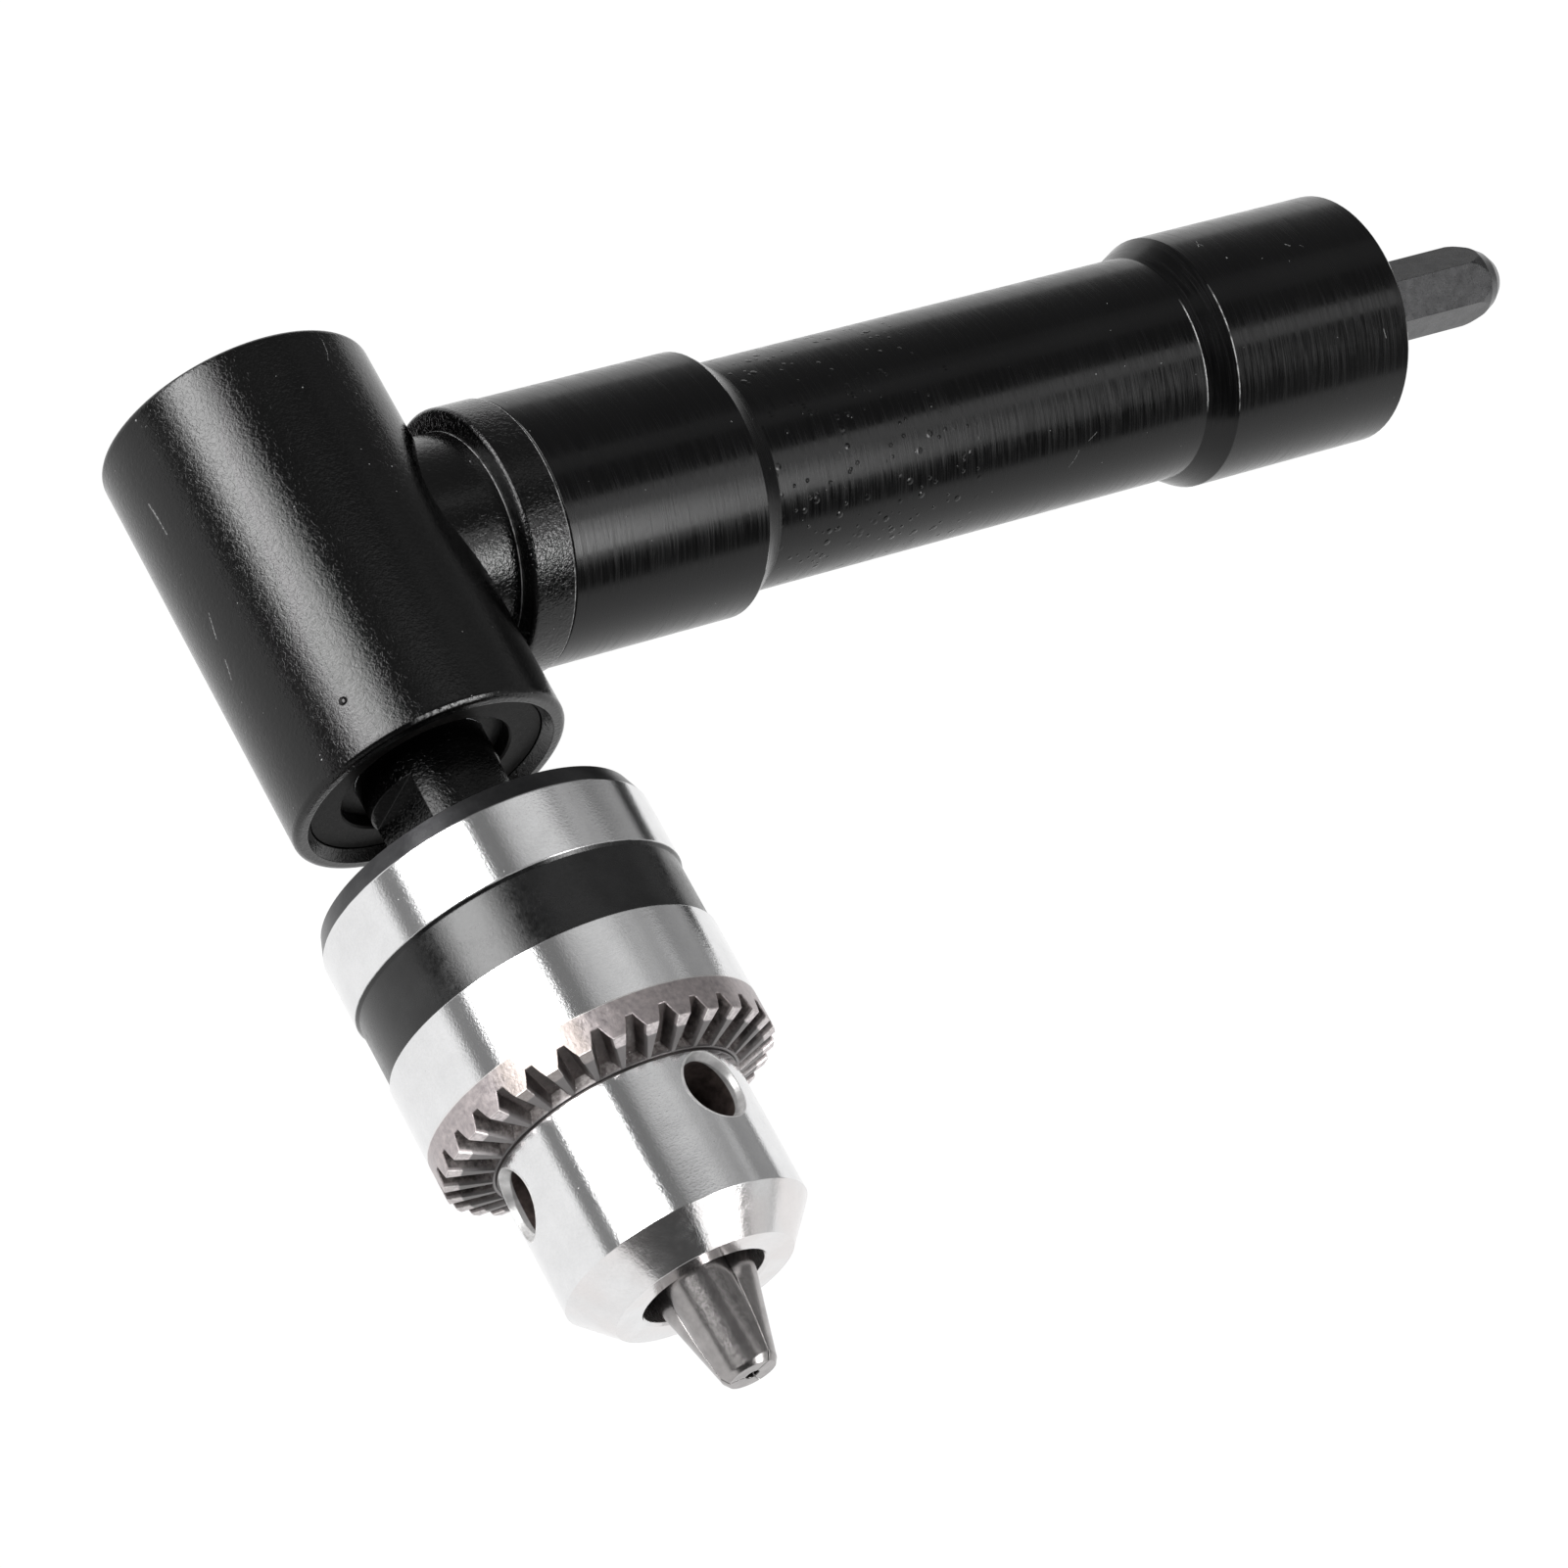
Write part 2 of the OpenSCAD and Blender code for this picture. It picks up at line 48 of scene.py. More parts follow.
# ------------------------------------------------------------------ material helpers
class Mat:
    """A node material with short calls for the nodes that are used here. Coordinates are object space in millimetres from the crossing point."""

    def __init__(self, name):
        self.m = bpy.data.materials.new(name)
        self.m.use_nodes = True
        self.t = self.m.node_tree
        self.t.nodes.clear()
        self.out = self.t.nodes.new("ShaderNodeOutputMaterial")
        self.bsdf = self.t.nodes.new("ShaderNodeBsdfPrincipled")
        self.t.links.new(self.bsdf.outputs[0], self.out.inputs[0])
        co = self.t.nodes.new("ShaderNodeTexCoord")
        mp = self.node("ShaderNodeMapping")
        mp.inputs["Location"].default_value = [-v for v in ORIGIN]
        mp.inputs["Scale"].default_value = (1000, 1000, 1000)
        self.t.links.new(co.outputs["Object"], mp.inputs["Vector"])
        self.mm = mp.outputs[0]
        self._xyz = None

    def node(self, kind, **props):
        n = self.t.nodes.new(kind)
        for k, v in props.items():
            setattr(n, k, v)
        return n

    def put(self, socket, value):
        if isinstance(value, bpy.types.NodeSocket):
            self.t.links.new(value, socket)
        else:
            socket.default_value = value

    def xyz(self):
        if self._xyz is None:
            s = self.node("ShaderNodeSeparateXYZ")
            self.put(s.inputs[0], self.mm)
            self._xyz = s.outputs
        return self._xyz

    def math(self, op, a, b=None, c=None, clamp=False):
        n = self.node("ShaderNodeMath", operation=op, use_clamp=clamp)
        self.put(n.inputs[0], a)
        if b is not None:
            self.put(n.inputs[1], b)
        if c is not None:
            self.put(n.inputs[2], c)
        return n.outputs[0]

    def vec(self, x, y, z):
        n = self.node("ShaderNodeCombineXYZ")
        for i, v in enumerate((x, y, z)):
            self.put(n.inputs[i], v)
        return n.outputs[0]

    def scaled(self, vector, s):
        n = self.node("ShaderNodeVectorMath", operation="MULTIPLY")
        self.put(n.inputs[0], vector)
        self.put(n.inputs[1], s)
        return n.outputs[0]

    def noise(self, scale=1.0, detail=3.0, rough=0.55, vector=None, distortion=0.0, dims="3D"):
        n = self.node("ShaderNodeTexNoise", noise_dimensions=dims)
        if dims != "1D":
            self.put(n.inputs["Vector"], self.mm if vector is None else vector)
        n.inputs["Scale"].default_value = scale
        n.inputs["Detail"].default_value = detail
        n.inputs["Roughness"].default_value = rough
        n.inputs["Distortion"].default_value = distortion
        return n.outputs["Fac"]

    def ramp(self, value, a, b, lo=0.0, hi=1.0, smooth=False):
        n = self.node("ShaderNodeMapRange", clamp=True)
        if smooth:
            n.interpolation_type = "SMOOTHSTEP"
        self.put(n.inputs["Value"], value)
        n.inputs["From Min"].default_value = a
        n.inputs["From Max"].default_value = b
        self.put(n.inputs["To Min"], lo)
        self.put(n.inputs["To Max"], hi)
        return n.outputs[0]

    def mix(self, f, a, b):
        n = self.node("ShaderNodeMix", data_type="RGBA")
        self.put(n.inputs[0], f)
        self.put(n.inputs[6], a if isinstance(a, bpy.types.NodeSocket) else (*a, 1.0))
        self.put(n.inputs[7], b if isinstance(b, bpy.types.NodeSocket) else (*b, 1.0))
        return n.outputs[2]

    def lerp(self, f, a, b):
        n = self.node("ShaderNodeMix", data_type="FLOAT")
        self.put(n.inputs[0], f)
        self.put(n.inputs[2], a)
        self.put(n.inputs[3], b)
        return n.outputs[0]

    def bump(self, height, mm, strength=1.0, normal=None):
        n = self.node("ShaderNodeBump")
        n.inputs["Strength"].default_value = strength
        n.inputs["Distance"].default_value = mm * MM
        self.put(n.inputs["Height"], height)
        if normal is not None:
            self.put(n.inputs["Normal"], normal)
        return n.outputs[0]

    def bevel(self, mm, samples=4):
        n = self.node("ShaderNodeBevel", samples=samples)
        n.inputs["Radius"].default_value = mm * MM
        return n.outputs[0]

    def specks(self, cell, size, share, seed=0.0):
        """Sparse small dots: one per Voronoi cell, kept in a share of the cells. 1 inside a dot."""
        v = self.node("ShaderNodeTexVoronoi", feature="F1")
        off = self.node("ShaderNodeVectorMath", operation="ADD")
        self.put(off.inputs[0], self.mm)
        off.inputs[1].default_value = (seed, seed * 1.7, -seed)
        self.put(v.inputs["Vector"], off.outputs[0])
        v.inputs["Scale"].default_value = 1.0 / cell
        s = self.node("ShaderNodeSeparateColor")
        self.put(s.inputs[0], v.outputs["Color"])
        keep = self.math("LESS_THAN", s.outputs[0], share)
        dot = self.ramp(v.outputs["Distance"], size / cell, size / cell * 0.5)
        return self.math("MULTIPLY", keep, dot)

    def set(self, **kw):
        names = {"color": "Base Color", "rough": "Roughness", "metal": "Metallic", "normal": "Normal", "spec": "Specular IOR Level",
                 "ior": "IOR", "coat": "Coat Weight", "coat_rough": "Coat Roughness", "aniso": "Anisotropic"}
        for k, v in kw.items():
            if k == "color" and not isinstance(v, bpy.types.NodeSocket):
                v = (*v, 1.0)
            self.put(self.bsdf.inputs[names[k]], v)
        return self.m


# ------------------------------------------------------------------ materials
def scratch(m, a, b, w, soft=0.5):
    """1 on a thin straight mark from a to b (mm from the crossing point), 0 elsewhere."""
    a, b = Vector(a), Vector(b)
    ab = b - a
    d = m.node("ShaderNodeVectorMath", operation="SUBTRACT")
    m.put(d.inputs[0], m.mm)
    d.inputs[1].default_value = a
    t = m.node("ShaderNodeVectorMath", operation="DOT_PRODUCT")
    m.put(t.inputs[0], d.outputs[0])
    t.inputs[1].default_value = ab / ab.length_squared
    k = m.math("MAXIMUM", m.math("MINIMUM", t.outputs["Value"], 1.0), 0.0)
    q = m.node("ShaderNodeVectorMath", operation="SCALE")
    q.inputs[0].default_value = ab
    m.put(q.inputs["Scale"], k)
    r = m.node("ShaderNodeVectorMath", operation="DISTANCE")
    m.put(r.inputs[0], d.outputs[0])
    m.put(r.inputs[1], q.outputs[0])
    return m.ramp(r.outputs["Value"], w, w * soft)


def on_chuck(r, a, c):
    t = math.radians(a)
    return (r * math.cos(t), -c, r * math.sin(t))


def on_handle(r, a, h):
    t = math.radians(a)
    return (h, r * math.cos(t), r * math.sin(t))


def marks(m, items):
    out = None
    for a, b, w in items:
        k = scratch(m, a, b, w)
        out = k if out is None else m.math("MAXIMUM", out, k)
    return out


def mark_layer(m, lines, col, rough):
    """Light broken scratches over a black coat."""
    k = m.math("MULTIPLY", marks(m, lines), m.ramp(m.noise(4.0, 3.0, 0.6), 0.40, 0.60, 0.1, 1.0))
    return m.mix(k, col, (0.15, 0.15, 0.15)), m.lerp(k, rough, 0.5)


def around(m, lo, hi, soft, value):
    """1 while the value lies between lo and hi."""
    return m.math("MULTIPLY", m.ramp(value, lo - soft, lo), m.ramp(value, hi + soft, hi))


def powder_coat(name, base=0.0007, seed=0.0, lines=(), head=False, peel_mm=0.040, soft=0.0, spec=0.37):
    """Black paint with orange peel, a few dust specks and, where given, light scratches."""
    m = Mat(name)
    peel = m.noise(1.9, 2.0, 0.55, distortion=0.25)
    crease = m.ramp(m.math("ABSOLUTE", m.math("SUBTRACT", m.noise(1.7, 1.0, 0.5, distortion=0.6), 0.5)), 0.0, 0.07, 0.0, 1.0, smooth=True)
    fine = m.noise(4.2, 2.0, 0.5)
    patch = m.noise(0.09, 2.0, 0.5)
    dust = m.math("MAXIMUM", m.specks(2.4, 0.12, 0.40, seed), m.specks(1.5, 0.07, 0.45, seed + 5.0))
    h = m.math("ADD", m.math("MULTIPLY", peel, 0.7), m.math("MULTIPLY", fine, 0.42))
    h = m.math("ADD", h, m.math("MULTIPLY", crease, 0.16))
    if head:
        # the coat is more wrinkled on the neck and the flange
        h = m.math("MULTIPLY", h, m.ramp(m.xyz()[0], 12.0, 16.0, 1.0, 1.7))
    h = m.math("ADD", h, m.math("MULTIPLY", dust, 0.5))
    if head:
        # one round pimple in the paint
        d = m.node("ShaderNodeVectorMath", operation="DISTANCE")
        m.put(d.inputs[0], m.mm)
        d.inputs[1].default_value = on_chuck(15.25, 134.0, 19.29)
        h = m.math("ADD", h, m.math("MULTIPLY", m.ramp(d.outputs["Value"], 0.52, 0.1, smooth=True), 3.6))
    normal = m.bump(h, peel_mm, 1.0, m.bevel(0.16))
    rough = m.ramp(patch, 0.3, 0.7, 0.115, 0.165)
    if head:
        rough = m.math("MULTIPLY", rough, m.ramp(m.xyz()[0], 12.0, 16.0, 1.0, 0.7))
    col = m.mix(m.ramp(patch, 0.35, 0.7), (base, base, base * 1.05), (base * 1.8,) * 3)
    col = m.mix(m.math("MULTIPLY", dust, 0.9), col, (0.22, 0.22, 0.22))
    if head:
        # painted highlight: broken light lines on the rear edge of the flange and where the neck meets it
        x, y, z = m.xyz()
        rad = m.math("SQRT", m.math("ADD", m.math("MULTIPLY", y, y), m.math("MULTIPLY", z, z)))
        highlight_breakup = m.ramp(m.noise(0.8, 4.0, 0.6), 0.36, 0.56, 0.15, 1.0)
        rear = m.math("MULTIPLY", around(m, 21.22, 21.6, 0.05, x), m.ramp(rad, 14.0, 14.3))
        joint = m.math("MULTIPLY", around(m, 16.26, 16.36, 0.03, x), around(m, 12.2, 12.36, 0.04, rad))
        edge = m.math("MULTIPLY", m.math("MAXIMUM", rear, m.math("MULTIPLY", joint, 0.7)), highlight_breakup)
        deg = m.math("MULTIPLY", m.math("ARCTAN2", z, x), 180.0 / math.pi)
        # painted highlight on the top of the mouth rim, only over the sector where the light falls on it
        rim = m.math("MULTIPLY", around(m, 24.88, 25.14, 0.06, m.math("MULTIPLY", y, -1.0)), around(m, 88.0, 108.0, 8.0, deg))
        edge = m.math("MAXIMUM", edge, m.math("MULTIPLY", rim, m.ramp(m.noise(2.6, 4.0, 0.65), 0.40, 0.62, 0.0, 0.7)))
        col = m.mix(edge, col, (0.30, 0.30, 0.30))
    if lines:
        col, rough = mark_layer(m, lines, col, rough)
    if soft:
        rough = m.math("ADD", rough, soft)
    return m.set(color=col, rough=rough, spec=spec, normal=normal)


def turned_black(name, lines=()):
    """Blackened turned surface: fine rings around the handle axis, faint long scratches and dust."""
    m = Mat(name)
    x, y, z = m.xyz()
    ang = m.math("ARCTAN2", z, y)
    rings = m.noise(1.0, 4.0, 0.65, m.vec(m.math("MULTIPLY", x, 2.1), m.math("MULTIPLY", ang, 1.4), 0.0))
    micro = m.noise(1.0, 2.0, 0.6, m.vec(m.math("MULTIPLY", x, 6.5), m.math("MULTIPLY", ang, 2.2), 7.0))
    broken = m.noise(1.1, 3.0, 0.6)
    dust = m.math("MAXIMUM", m.specks(2.8, 0.12, 0.35, 3.0), m.specks(1.8, 0.07, 0.40, 9.0))
    # small blisters in the coat of the grip
    blister = m.math("MULTIPLY", m.math("MAXIMUM", m.specks(1.5, 0.42, 0.35, 12.0), m.specks(0.9, 0.26, 0.25, 15.0)),
                     m.math("MULTIPLY", around(m, 49.5, 72.0, 2.0, x), m.ramp(m.noise(0.13, 2.0, 0.5), 0.38, 0.52)))
    patch = m.noise(0.07, 2.0, 0.5)
    h = m.math("ADD", m.math("MULTIPLY", rings, 0.55), m.math("MULTIPLY", micro, 0.22))
    h = m.math("ADD", h, m.math("MULTIPLY", broken, 0.15))
    h = m.math("ADD", h, m.math("MULTIPLY", dust, 1.2))
    h = m.math("ADD", h, m.math("MULTIPLY", blister, 7.5))
    normal = m.bump(h, 0.010, 1.0, m.bevel(0.14))
    # the fine turning lines scatter light in an uneven way
    lines_a = m.ramp(m.math("ADD", m.math("MULTIPLY", rings, 0.5), m.math("MULTIPLY", micro, 0.5)), 0.40, 0.60)
    rough = m.math("ADD", m.lerp(lines_a, 0.11, 0.29), m.ramp(broken, 0.35, 0.65, 0.0, 0.02))
    col = m.mix(m.ramp(patch, 0.35, 0.7), (0.0006, 0.0006, 0.0007), (0.0014, 0.0014, 0.0015))
    col = m.mix(m.math("MULTIPLY", dust, 0.9), col, (0.22, 0.22, 0.22))
    highlight_breakup = m.ramp(m.noise(0.8, 4.0, 0.6), 0.36, 0.56, 0.15, 1.0)
    # painted highlight: a broken light line along the seam with the flange
    seam = m.math("MULTIPLY", around(m, 21.3, 21.5, 0.05, x), highlight_breakup)
    col = m.mix(seam, col, (0.30, 0.30, 0.30))
    # painted highlight: thin light lines on the edges of the two cones, only over the sectors where the light falls
    deg = m.math("MULTIPLY", ang, 180.0 / math.pi)
    lower = m.math("MULTIPLY", m.math("MAXIMUM", around(m, 104.06, 104.14, 0.05, x), around(m, 107.26, 107.34, 0.05, x)), around(m, 96.0, 142.0, 8.0, deg))
    upper = m.math("MULTIPLY", around(m, 45.26, 45.34, 0.06, x), m.math("MAXIMUM", around(m, 30.0, 74.0, 8.0, deg), around(m, 158.0, 190.0, 8.0, deg)))
    col = m.mix(m.math("MULTIPLY", m.math("MAXIMUM", lower, upper), highlight_breakup), col, (0.30, 0.30, 0.30))
    if lines:
        col, rough = mark_layer(m, lines, col, rough)
    return m.set(color=col, rough=rough, spec=0.28, normal=normal)


def polished(name, tint=(0.80, 0.80, 0.805), axis="chuck", r0=0.07, r1=0.12):
    """Ground and polished steel: faint rings, mottled polish and fine pits."""
    m = Mat(name)
    x, y, z = m.xyz()
    if axis == "chuck":
        ang, along = m.math("ARCTAN2", z, x), y
    else:
        ang, along = m.math("ARCTAN2", z, y), x
    mott = m.noise(0.30, 4.0, 0.6)
    grain = m.noise(3.4, 3.0, 0.65)
    wave = m.noise(0.35, 2.0, 0.5)
    rings = m.noise(1.0, 3.0, 0.6, m.vec(m.math("MULTIPLY", along, 7.0), m.math("MULTIPLY", ang, 1.5), 0.0))
    pits = m.math("MAXIMUM", m.specks(1.9, 0.07, 0.22, 1.0), m.specks(0.8, 0.04, 0.2, 4.0))
    h = m.math("ADD", m.math("MULTIPLY", grain, 1.0), m.math("MULTIPLY", rings, 0.3))
    h = m.math("ADD", h, m.math("MULTIPLY", wave, 0.5))
    h = m.math("SUBTRACT", h, m.math("MULTIPLY", pits, 0.8))
    normal = m.bump(h, 0.0115, 1.0, m.bevel(0.14))
    rough = m.ramp(mott, 0.3, 0.72, r0, r1)
    lo = tuple(c * 0.90 for c in tint)
    col = m.mix(m.ramp(m.math("ADD", m.math("MULTIPLY", mott, 0.6), m.math("MULTIPLY", grain, 0.4)), 0.35, 0.65), tint, lo)
    col = m.mix(m.math("MULTIPLY", pits, 0.45), col, (0.2, 0.19, 0.18))
    return m, dict(color=col, rough=rough, metal=1.0, normal=normal)


KEY_TURN, KEY_C = 68.2, 70.95


def nose_material():
    """Polished body of the chuck, with painted shade inside the key holes and in the bore for the jaws."""
    m, base = polished("nose_steel")
    x, y, z = m.xyz()
    c = m.math("MULTIPLY", y, -1.0)
    r = m.math("SQRT", m.math("ADD", m.math("MULTIPLY", x, x), m.math("MULTIPLY", z, z)))
    blot = m.noise(0.9, 4.0, 0.6)
    # painted shade: the inside of the key holes and of the bore for the jaws is coloured dark brown
    hole = m.math("MULTIPLY", m.ramp(r, 12.12, 12.02), m.ramp(c, 79.0, 78.8))
    mouth = m.math("MULTIPLY", m.ramp(r, 6.62, 6.58), m.ramp(c, 85.9, 85.6))
    inner = m.math("MAXIMUM", hole, mouth)
    dark = m.mix(m.ramp(blot, 0.35, 0.7), (0.035, 0.026, 0.024), (0.10, 0.078, 0.072))
    # satin countersinks of the key holes
    sink = None
    for k in range(3):
        a = math.radians(KEY_TURN + 120.0 * k)
        along = m.math("ADD", m.math("MULTIPLY", x, math.cos(a)), m.math("MULTIPLY", z, math.sin(a)))
        side = m.math("SUBTRACT", m.math("MULTIPLY", z, math.cos(a)), m.math("MULTIPLY", x, math.sin(a)))
        up = m.math("SUBTRACT", c, KEY_C)
        away = m.math("SQRT", m.math("ADD", m.math("MULTIPLY", side, side), m.math("MULTIPLY", up, up)))
        one = m.math("MULTIPLY", m.ramp(away, 3.97, 3.93), m.ramp(along, 5.0, 6.0))
        sink = one if sink is None else m.math("MAXIMUM", sink, one)
    # the front cone carries a faint warm tint
    cone = m.math("MULTIPLY", m.ramp(c, 81.95, 82.05), m.ramp(m.noise(0.16, 2.0, 0.5), 0.35, 0.62))
    col = m.mix(m.math("MULTIPLY", cone, 0.38), base["color"], (0.70, 0.63, 0.61))
    col = m.mix(sink, col, m.mix(m.ramp(blot, 0.35, 0.65), (0.48, 0.475, 0.475), (0.66, 0.655, 0.65)))
    col = m.mix(inner, col, dark)
    # painted shadow: a dark ring on the body in the gap at the front of the sleeve
    gap = m.math("MULTIPLY", around(m, 66.7, 67.06, 0.05, c), m.ramp(r, 12.2, 12.4))
    col = m.mix(m.math("MULTIPLY", gap, 0.9), col, (0.035, 0.024, 0.022))
    rough = m.math("ADD", base["rough"], m.math("MULTIPLY", m.ramp(c, 81.95, 82.05), m.ramp(blot, 0.35, 0.65, 0.02, 0.10)))
    rough = m.lerp(m.math("MAXIMUM", inner, m.math("MAXIMUM", gap, sink)), rough, 0.36)
    return m.set(color=col, rough=rough, metal=m.lerp(inner, m.lerp(sink, 1.0, 0.6), 0.5), normal=base["normal"], spec=0.5)


def sleeve_material():
    """Polished steel with a blackened band and a matt brown-grey toothed front."""
    m, base = polished("sleeve_steel")
    x, y, z = m.xyz()
    c = m.math("MULTIPLY", y, -1.0)
    r = m.math("SQRT", m.math("ADD", m.math("MULTIPLY", x, x), m.math("MULTIPLY", z, z)))
    edge = m.noise(0.8, 3.0, 0.6)
    wob = m.math("MULTIPLY", m.math("SUBTRACT", edge, 0.5), 0.10)
    cc = m.math("ADD", c, wob)
    band = m.math("MULTIPLY", m.ramp(cc, 45.28, 45.42), m.ramp(cc, 53.22, 53.1))
    teeth = m.ramp(cc, 61.6, 61.72)
    line = m.math("MULTIPLY", m.ramp(cc, 61.5, 61.6), m.ramp(cc, 61.78, 61.68))
    back = m.ramp(cc, 38.05, 37.95)
    inner = m.ramp(r, 16.9, 16.7)
    ang = m.math("ARCTAN2", z, x)
    streak = m.noise(1.0, 4.0, 0.65, m.vec(m.math("MULTIPLY", ang, 22.0), m.math("MULTIPLY", c, 0.9), 0.0))
    blot = m.noise(0.35, 4.0, 0.6)
    speck = m.noise(2.2, 3.0, 0.6)
    black = m.mix(m.ramp(blot, 0.35, 0.7), (0.0010, 0.0010, 0.0011), (0.0045, 0.0045, 0.0047))
    brown = m.mix(m.ramp(m.math("ADD", m.math("MULTIPLY", streak, 0.6), m.math("MULTIPLY", speck, 0.4)), 0.35, 0.65), (0.33, 0.298, 0.305), (0.54, 0.485, 0.482))
    grey = m.mix(m.ramp(blot, 0.3, 0.7), (0.040, 0.040, 0.042), (0.072, 0.072, 0.074))
    # how far a point lies below the sloping crest of the teeth, and inside the outer surface
    below = m.math("SUBTRACT", m.math("ADD", 65.45, m.math("MULTIPLY", m.math("SUBTRACT", 18.2, r), 0.3146)), c)
    depth = m.math("SUBTRACT", 18.2, r)
    front = m.ramp(c, 62.5, 62.6)
    space = m.math("MULTIPLY", m.math("MULTIPLY", m.ramp(below, 0.10, 0.45), m.ramp(depth, 0.04, 0.16)), front)
    crest = m.math("MULTIPLY", m.math("MULTIPLY", m.ramp(below, 0.10, 0.03), m.ramp(depth, 0.03, 0.10)), front)
    root = m.ramp(m.math("DIVIDE", m.math("MULTIPLY", below, 18.2), r), 1.60, 1.72)
    chips = m.specks(0.55, 0.10, 0.34, 6.0)
    # painted shade: the spaces between the teeth are coloured dark, darkest at the top of the ring; on both sides they
    # carry patches of painted light
    deg = m.math("MULTIPLY", ang, 180.0 / math.pi)
    side = m.math("MAXIMUM", m.math("MAXIMUM", m.ramp(deg, 84.0, 62.0), m.ramp(deg, 146.0, 166.0)), m.ramp(deg, -90.0, -110.0))
    patchy_side_light = m.math("MULTIPLY", m.ramp(m.noise(0.8, 4.0, 0.65), 0.40, 0.58), m.lerp(side, 0.18, 0.8))
    space_colour = m.mix(m.ramp(blot, 0.35, 0.65), (0.012, 0.0088, 0.0088), (0.022, 0.016, 0.0155))
    space_colour = m.mix(patchy_side_light, space_colour, m.mix(m.ramp(speck, 0.35, 0.6), (0.075, 0.063, 0.061), (0.15, 0.132, 0.128)))
    space_colour = m.mix(m.math("MULTIPLY", root, m.ramp(speck, 0.3, 0.6, 0.55, 1.0)), space_colour, (0.085, 0.070, 0.067))
    # the thin rim at the inner end is lighter, and the floor near the inner end carries painted light, stronger on
    # both sides
    inner_rim_and_lit_floor = m.math("MAXIMUM", m.ramp(r, 13.74, 13.66), m.math("MULTIPLY", m.ramp(r, 15.4, 14.0), m.lerp(side, 0.25, 0.9)))
    space_colour = m.mix(inner_rim_and_lit_floor, space_colour, m.mix(m.ramp(speck, 0.4, 0.6), (0.09, 0.076, 0.073), (0.21, 0.19, 0.185)))
    space_colour = m.mix(m.math("MULTIPLY", chips, m.ramp(r, 15.0, 13.8)), space_colour, (0.6, 0.58, 0.57))
    # painted highlight: bright lines along the edges of the spaces
    edge_highlight = m.math("MULTIPLY", m.math("MULTIPLY", around(m, 0.03, 0.13, 0.03, below), m.ramp(depth, -0.01, 0.02)), front)
    col = m.mix(back, base["color"], grey)
    col = m.mix(band, col, black)
    col = m.mix(teeth, col, brown)
    col = m.mix(line, col, (0.75, 0.74, 0.73))
    col = m.mix(m.math("MULTIPLY", crest, 0.85), col, m.mix(m.ramp(speck, 0.35, 0.65), (0.50, 0.46, 0.465), (0.78, 0.73, 0.73)))
    # painted shade: a warm, darker sector on the top of the ring, where the highlight falls
    highlight_sector_shade = m.math("MULTIPLY", teeth, around(m, 117.0, 143.0, 6.0, deg))
    col = m.mix(m.math("MULTIPLY", highlight_sector_shade, m.ramp(speck, 0.3, 0.7, 0.46, 0.66)), col, (0.12, 0.10, 0.075))
    col = m.mix(space, col, space_colour)
    col = m.mix(m.math("MULTIPLY", edge_highlight, m.ramp(speck, 0.35, 0.5, 0.4, 1.0)), col, (0.95, 0.91, 0.90))
    col = m.mix(inner, col, m.mix(space, (0.20, 0.19, 0.19), space_colour))
    rough = m.lerp(band, base["rough"], m.ramp(m.math("ADD", m.math("MULTIPLY", blot, 0.5), m.math("MULTIPLY", speck, 0.5)), 0.38, 0.62, 0.17, 0.30))
    rough = m.lerp(teeth, rough, m.ramp(streak, 0.3, 0.7, 0.30, 0.42))
    rough = m.lerp(crest, rough, 0.55)
    rough = m.lerp(back, rough, 0.3)
    metal = m.math("MULTIPLY", m.math("MULTIPLY", m.lerp(band, 1.0, 0.0), m.lerp(space, 1.0, 0.15)), m.lerp(crest, 1.0, 0.5))
    worn = m.bump(m.math("ADD", m.math("MULTIPLY", streak, 0.5), m.math("MULTIPLY", speck, 0.5)), 0.05, 1.0, base["normal"])
    n = m.node("ShaderNodeMix", data_type="VECTOR")
    m.put(n.inputs[0], teeth)
    m.put(n.inputs[4], base["normal"])
    m.put(n.inputs[5], worn)
    return m.set(color=col, rough=rough, metal=metal, normal=n.outputs[1], spec=0.5)


def dark_steel(name, a, b, rough0, rough1, metal=1.0, scale=0.9, tint=(1.0, 1.0, 1.02), bump=0.008, radius=0.12, spec=0.5):
    """Dark, slightly mottled steel."""
    m = Mat(name)
    mott = m.noise(scale, 4.0, 0.6)
    fine = m.noise(4.0, 3.0, 0.6)
    grind = m.noise(1.0, 2.0, 0.6, m.scaled(m.mm, (6.0, 0.7, 6.0)))
    h = m.math("ADD", m.math("MULTIPLY", fine, 0.5), m.math("MULTIPLY", grind, 0.5))
    normal = m.bump(h, bump, 1.0, m.bevel(radius))
    col = m.mix(m.ramp(mott, 0.32, 0.68), tuple(a * t for t in tint), tuple(b * t for t in tint))
    return m.set(color=col, rough=m.ramp(fine, 0.3, 0.7, rough0, rough1), metal=metal, normal=normal, spec=spec)


def rubber(name):
    m = Mat(name)
    n = m.noise(3.0, 4.0, 0.6)
    return m.set(color=m.mix(n, (0.006, 0.006, 0.006), (0.02, 0.02, 0.02)), rough=m.ramp(n, 0.3, 0.7, 0.5, 0.7), spec=0.3, normal=m.bump(n, 0.02))


def brass(name):
    m = Mat(name)
    n = m.noise(1.5, 4.0, 0.6)
    return m.set(color=m.mix(n, (0.50, 0.33, 0.12), (0.68, 0.48, 0.20)), rough=m.ramp(n, 0.3, 0.7, 0.22, 0.38), metal=1.0, normal=m.bump(n, 0.01))


def assign(name, mat):
    o = NODES[name]
    o.data.materials.clear()
    o.data.materials.append(mat)
    for p in o.data.polygons:
        p.material_index = 0


